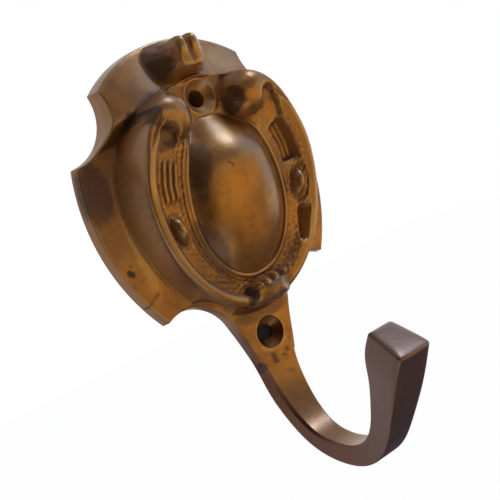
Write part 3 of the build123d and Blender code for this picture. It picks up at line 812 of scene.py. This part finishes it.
def age_and_painted_light_marks(mesh):
    """Point attributes from 0 to 1: recess and wear tell how far a point lies below and above its smoothed
    surroundings, wear with the painted highlights laid over it; raw how far it faces from the room, dull how
    far out on the hook it lies, flank the painted shade on the arm's side, and stain how dark specks and
    painted shade are."""
    count = len(mesh.vertices)
    points = mesh_rows(mesh.vertices, "co", 3).astype(float) / MM
    normals = mesh_rows(mesh.vertices, "normal", 3)
    ends = mesh_rows(mesh.edges, "vertices", 2, np.int32)
    calm, depths = points, []
    for _ in range(RECESS_PASSES):
        calm = neighbour_mean(calm, ends, count)
        depths.append(np.sum((calm - points) * normals, axis=1))
    x, rise, z = points[:, 0], -points[:, 1], points[:, 2] + ORIGIN_Z
    sideways, inward = np.abs(normals[:, 0]), normals[:, 1]
    edges = np.clip(-depths[WEAR_PASSES - 1] / WEAR_HEIGHT, 0, 1)
    off_arm = np.maximum(smooth(z, *FLANK_LEVELS), smooth(inward, *BACK_FACING))
    hook_dull = smooth(rise, *DULL_RISES) * fade(z, *DULL_LEVELS)
    marks = {
        "recess": np.clip(depths[-1] / RECESS_DEPTH, 0, 1),
        # worn edges, with the painted highlights laid over them
        "wear_and_highlight": np.maximum(edges, patches(x, z, PAINTED_HIGHLIGHTS, HIGHLIGHT_EDGE)),
        # dark specks, and painted shade
        "stain_and_shade": patches(x, z, SPECKS + SHADE_PATCHES, STAIN_AND_SHADE_EDGE) * (inward < STAIN_AND_SHADE_FACING) * (rise < HOOK_CLEAR),
        "raw": smooth(inward, *RAW_FACING) * off_arm,
        "dull": np.maximum(hook_dull, BEND_DULL * fade(z, *BEND_LEVELS)),
        # painted shade on the arm's flanks
        "painted_flank_shade": smooth(sideways, *FLANK_FACING) * fade(z, *FLANK_LEVELS),
    }
    for name, values in marks.items():
        mesh.attributes.new(name, "FLOAT", "POINT").data.foreach_set("value", values.astype(np.float32))


casting = new_object("casting", net_mesh("casting", casting_net()))
hook = new_object("hook", net_mesh("hook", hook_net()))
combine(casting, hook, "UNION")
for hole in HOLES:
    cutter = new_object("cutter", net_mesh("cutter", countersink(*hole)))
    combine(casting, cutter, "DIFFERENCE")
casting.data.name = "casting"
crisp_holes(casting.data)
casting.data.polygons.foreach_set("use_smooth", np.ones(len(casting.data.polygons), bool))
age_and_painted_light_marks(casting.data)

# Brass: its two tones and their cloud's scale, detail and range
BRASS, DEEP_BRASS = (0.37, 0.165, 0.024), (0.25, 0.11, 0.02)
CLOUD, CLOUD_RANGE = (90, 4), (0.35, 0.68)
# Brown clouds over it: scale and detail, range, strongest share, and colour
BROWN_CLOUDS = (((55, 6), (0.5, 0.66), 0.65, (0.15, 0.07, 0.026)),
                ((420, 5), (0.5, 0.75), 0.5, (0.13, 0.06, 0.025)))
# Films over both, from the lowest up: attribute, value where it starts, strongest share, and colour
# Of these, the wear film also lays on painted highlights, the flank film is painted shade, and the stain film
# also lays painted shade.
FILMS = (("raw", 0.0, 0.75, (0.46, 0.21, 0.072)), ("wear_and_highlight", 0.2, 0.45, (0.52, 0.33, 0.13)),
         ("painted_flank_shade", 0.0, 0.85, (0.1, 0.028, 0.008)), ("dull", 0.0, 0.8, (0.145, 0.084, 0.056)),
         ("recess", 0.05, 0.6, (0.09, 0.045, 0.025)), ("stain_and_shade", 0.0, 1.0, (0.05, 0.025, 0.02)))
CLOUD_ROUGHNESS = (0.29, 0.41)
ROUGHER = (("recess", 0.2), ("raw", 0.3), ("stain_and_shade", 0.2))  # roughness that a film adds
METALLIC, COAT, COAT_ROUGHNESS = 0.9, 0.55, 0.22
GRAIN_COARSE, GRAIN_FINE, FINE_SHARE = (900, 6), (3000, 2), 0.4
GRAIN_STRENGTH, GRAIN_HEIGHT = 0.3, 0.00012
MIX_UNDER, MIX_OVER, MIX_COLOUR = 6, 7, 2  # a mix node's sockets for colours


def new_material(name):
    """Material and its node tree."""
    material = bpy.data.materials.new(name)
    material.use_nodes = True
    return material, material.node_tree


def feed(made, inputs):
    """Fills a node's inputs: another node's output is linked, a colour or number is set."""
    for slot, value in inputs.items():
        if isinstance(value, bpy.types.NodeSocket):
            made.id_data.links.new(value, made.inputs[slot])
        else:
            made.inputs[slot].default_value = (*value, 1) if isinstance(value, tuple) else value


def node(tree, kind, inputs, output=0, **settings):
    """New node with its settings and inputs. Gives one of its outputs."""
    made = tree.nodes.new("ShaderNode" + kind)
    for name, value in settings.items():
        setattr(made, name, value)
    feed(made, inputs)
    return made.outputs[output]


def aged_brass():
    """Brass under a thin brown film: gold on worn edges and painted highlights, dark in hollows, stains and
    painted shade, cloudy on its faces.
    """
    material, tree = new_material("aged_brass")
    place = node(tree, "TexCoord", {}, "Object")

    def noise(scale, detail):
        return node(tree, "TexNoise", {"Vector": place, "Scale": scale, "Detail": detail}, "Fac")

    def ranged(value, low, high, start, end):
        span = {"From Min": low, "From Max": high, "To Min": start, "To Max": end}
        return node(tree, "MapRange", {"Value": value, **span}, "Result")

    def attribute(name):
        return node(tree, "Attribute", {}, "Fac", attribute_name=name)

    def tint(share, under, over):
        layers = {"Factor": share, MIX_UNDER: under, MIX_OVER: over}
        return node(tree, "Mix", layers, MIX_COLOUR, data_type="RGBA")

    def total(first, second):
        return node(tree, "Math", {0: first, 1: second}, operation="ADD")

    cloud = ranged(noise(*CLOUD), *CLOUD_RANGE, 0, 1)
    colour = tint(cloud, BRASS, DEEP_BRASS)
    for pattern, span, most, brown in BROWN_CLOUDS:
        colour = tint(ranged(noise(*pattern), *span, 0, most), colour, brown)
    for name, start, most, film in FILMS:
        colour = tint(ranged(attribute(name), start, 1, 0, most), colour, film)
    rough = ranged(cloud, 0, 1, *CLOUD_ROUGHNESS)
    for name, most in ROUGHER:
        rough = total(rough, ranged(attribute(name), 0, 1, 0, most))
    height = total(noise(*GRAIN_COARSE), ranged(noise(*GRAIN_FINE), 0, 1, 0, FINE_SHARE))
    grain = {"Height": height, "Strength": GRAIN_STRENGTH, "Distance": GRAIN_HEIGHT}
    feed(tree.nodes["Principled BSDF"], {
        "Base Color": colour, "Roughness": rough, "Metallic": METALLIC, "Coat Weight": COAT,
        "Coat Roughness": COAT_ROUGHNESS, "Normal": node(tree, "Bump", grain, "Normal")})
    return material


casting.data.materials.clear()
casting.data.materials.append(aged_brass())

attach(casting, "root")
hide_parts("wall_hook")

# Camera at the photograph's place: turned to the left, a little above, rolled
CAMERA_TURN, CAMERA_RISE, CAMERA_ROLL = 35.01, 4.14, 21.81
CAMERA_DISTANCE, CAMERA_SHIFT = 232.15, (5.42, -12.9)
CAMERA_AIM_RISE = 8.0
FOCAL_PIXELS, IMAGE_PIXELS, SENSOR = 942.77, 500, 36.0
CLIP = (0.01, 20)  # metres


def place_camera():
    """Camera frame from its three angles: look direction, then right and up rolled about it."""
    a, e, r = (math.radians(v) for v in (CAMERA_TURN, CAMERA_RISE, CAMERA_ROLL))
    level = Vector((math.cos(a), -math.sin(a), 0))
    look = Vector((math.sin(a) * math.cos(e), math.cos(a) * math.cos(e), -math.sin(e)))
    upright = level.cross(look)
    right = math.cos(r) * level - math.sin(r) * upright
    up = math.sin(r) * level + math.cos(r) * upright
    eye = Vector((0, -CAMERA_AIM_RISE, -ORIGIN_Z)) - CAMERA_DISTANCE * look
    eye += CAMERA_SHIFT[0] * right + CAMERA_SHIFT[1] * up
    data = bpy.data.cameras.new("camera")
    data.sensor_width = SENSOR
    data.lens = FOCAL_PIXELS / IMAGE_PIXELS * SENSOR
    data.clip_start, data.clip_end = CLIP
    camera = new_object("camera", data)
    camera.matrix_world = Matrix.Translation(eye * MM) @ Matrix((right, up, -look)).transposed().to_4x4()
    bpy.context.scene.camera = camera


# Stage, in metres. Cards: place, width and height, and colour
CARDS = {
    "dark_flag": ((-1.0, -0.34, 0.34), (2.3, 1.4), (0.03, 0.015, 0.015)),
    "warm_card": ((0.3, -0.95, -0.3), (2.4, 0.52), (1.0, 0.7, 0.32)),
    "pale_card": ((0.3, -0.92, -0.62), (2.2, 0.4), (0.95, 0.65, 0.31)),
    "dusk_card": ((0.25, -0.55, -0.56), (1.4, 0.3), (0.55, 0.38, 0.19)),
    "left_card": ((-0.85, -0.75, -0.62), (1.1, 0.8), (0.07, 0.04, 0.02)),
    "brown_card": ((0.1, -0.9, 0.5), (1.5, 1.1), (0.24, 0.19, 0.22)),
    "right_card": ((0.9, -0.35, 0.6), (1.1, 1.3), (0.6, 0.7, 1.1)),
    "top_card": ((0.0, 0.2, 1.2), (1.8, 1.8), (0.22, 0.25, 0.36)),
    "back_card": ((-0.5, 0.9, -0.1), (2.0, 1.6), (0.6, 0.55, 0.6)),
    "low_card": ((0.1, 0.1, -0.8), (2.2, 2.2), (0.09, 0.08, 0.12)),
}
WINDOW = ((0.5, -0.42, 0.82), (0.34, 0.34), 2.7, (0.68, 0.86, 1.3))  # place, size, watts and colour
SOFT_LIGHT, SOFT_STRENGTH = (0.9, 0.93, 1.0), 0.8
WHITE = (1, 1, 1)
FLOOR_Z, FLOOR_SIZE = -0.9, 12
PAPER, PAPER_ROUGHNESS, PAPER_WHITE = (0.95, 0.95, 0.95), 0.9, 0.96  # the last is its share of plain white
# The dot's colour is painted shade: the near black of the shadowed wall seen through a hole.
DOT_RISE, DOT_SHARE, SHADE_DOT_COLOUR = 0.2, 0.998, (0.012, 0.01, 0.012)  # millimetres, share of the bore


def facing(place):
    """Matrix of a lamp or card at a place, turned to face the hook."""
    toward = Vector() - Vector(place)
    return Matrix.Translation(place) @ toward.to_track_quat("-Z", "Y").to_matrix().to_4x4()


def soft_box(name, place, size, watts, colour):
    """Rectangular lamp that faces the hook."""
    data = bpy.data.lights.new(name, "AREA")
    data.shape = "RECTANGLE"
    data.size, data.size_y = size
    data.energy = watts
    data.color = colour
    new_object(name, data).matrix_world = facing(place)


def flat_sheet(name, width, height):
    """Rectangle of one face in its own plane."""
    corners = [(x * width / 2, y * height / 2, 0) for x, y in ((-1, -1), (1, -1), (1, 1), (-1, 1))]
    mesh = bpy.data.meshes.new(name)
    mesh.from_pydata(corners, [], [(0, 1, 2, 3)])
    return new_object(name, mesh)


def glow(name, colour):
    """Plain sheet material that shows one colour under any light."""
    material, tree = new_material(name)
    tree.nodes.clear()
    feed(tree.nodes.new("ShaderNodeOutputMaterial"), {"Surface": node(tree, "Emission", {"Color": colour})})
    return material


def card(name, place, size, colour):
    """Card that only mirrors in the metal: it isn't seen and throws neither light nor shade."""
    sheet = flat_sheet(name, *size)
    sheet.data.materials.append(glow(name, colour))
    sheet.matrix_world = facing(place)
    sheet.visible_camera = sheet.visible_diffuse = sheet.visible_shadow = False


def seen_white(tree):
    """Share 1 for camera, mirror and glass rays, which see plain white, and 0 for others."""
    path = tree.nodes.new("ShaderNodeLightPath").outputs
    share = path["Is Camera Ray"]
    for ray in ("Is Glossy Ray", "Is Transmission Ray"):
        share = node(tree, "Math", {0: share, 1: path[ray]}, operation="MAXIMUM")
    return share


def white_world():
    """Pale even light for the object, and plain white behind it."""
    world = bpy.data.worlds.new("studio")
    bpy.context.scene.world = world
    world.use_nodes = True
    tree = world.node_tree
    tree.nodes.clear()
    soft = node(tree, "Background", {"Color": SOFT_LIGHT, "Strength": SOFT_STRENGTH})
    white = node(tree, "Background", {"Color": WHITE, "Strength": 1.0})
    surface = node(tree, "MixShader", {"Fac": seen_white(tree), 1: soft, 2: white})
    feed(tree.nodes.new("ShaderNodeOutputWorld"), {"Surface": surface})


def white_floor():
    """Floor well below the hook: white paper that takes the soft shadow and meets the white background."""
    floor = flat_sheet("floor", FLOOR_SIZE, FLOOR_SIZE)
    floor.matrix_world = Matrix.Translation((0, 0, FLOOR_Z))
    material, tree = new_material("white_paper")
    matte_surface = tree.nodes["Principled BSDF"]
    feed(matte_surface, {"Base Color": PAPER, "Roughness": PAPER_ROUGHNESS})
    share = node(tree, "Math", {0: seen_white(tree), 1: PAPER_WHITE}, operation="MULTIPLY")
    white = node(tree, "Emission", {})
    surface = node(tree, "MixShader", {"Fac": share, 1: matte_surface.outputs[0], 2: white})
    feed(tree.nodes["Material Output"], {"Surface": surface})
    floor.data.materials.append(material)


def hole_shade(name, z):
    """Painted shade in a screw hole: a near-black dot at the back end of the bore, seen from the front only,
    standing in for the shadowed wall behind it.
    """
    t = np.linspace(0, 2 * np.pi, HOLE_SIDES, endpoint=False)
    circle = np.stack([np.cos(t), np.sin(t), 0 * t], -1) * (BORE * DOT_SHARE * MM)
    mesh = bpy.data.meshes.new(name)
    mesh.from_pydata(circle, [], [list(range(HOLE_SIDES))])
    dot = new_object(name, mesh)
    place = Matrix.Translation((0, -DOT_RISE * MM, (z - ORIGIN_Z) * MM))
    dot.matrix_world = place @ Matrix.Rotation(math.pi / 2, 4, "X")
    material, tree = new_material(name)
    matte_surface = tree.nodes["Principled BSDF"]
    feed(matte_surface, {"Base Color": SHADE_DOT_COLOUR, "Roughness": 1.0})
    behind = node(tree, "NewGeometry", {}, "Backfacing")
    clear = node(tree, "BsdfTransparent", {})
    surface = node(tree, "MixShader", {"Fac": behind, 1: matte_surface.outputs[0], 2: clear})
    feed(tree.nodes["Material Output"], {"Surface": surface})
    dot.data.materials.append(material)


place_camera()
white_world()
white_floor()
hole_shade("top_shade", TOP_HOLE_Z)
hole_shade("low_shade", LOW_HOLE_Z)
soft_box("window", *WINDOW)
for card_name, card_row in CARDS.items():
    card(card_name, *card_row)

bpy.context.scene.view_settings.view_transform = "Standard"
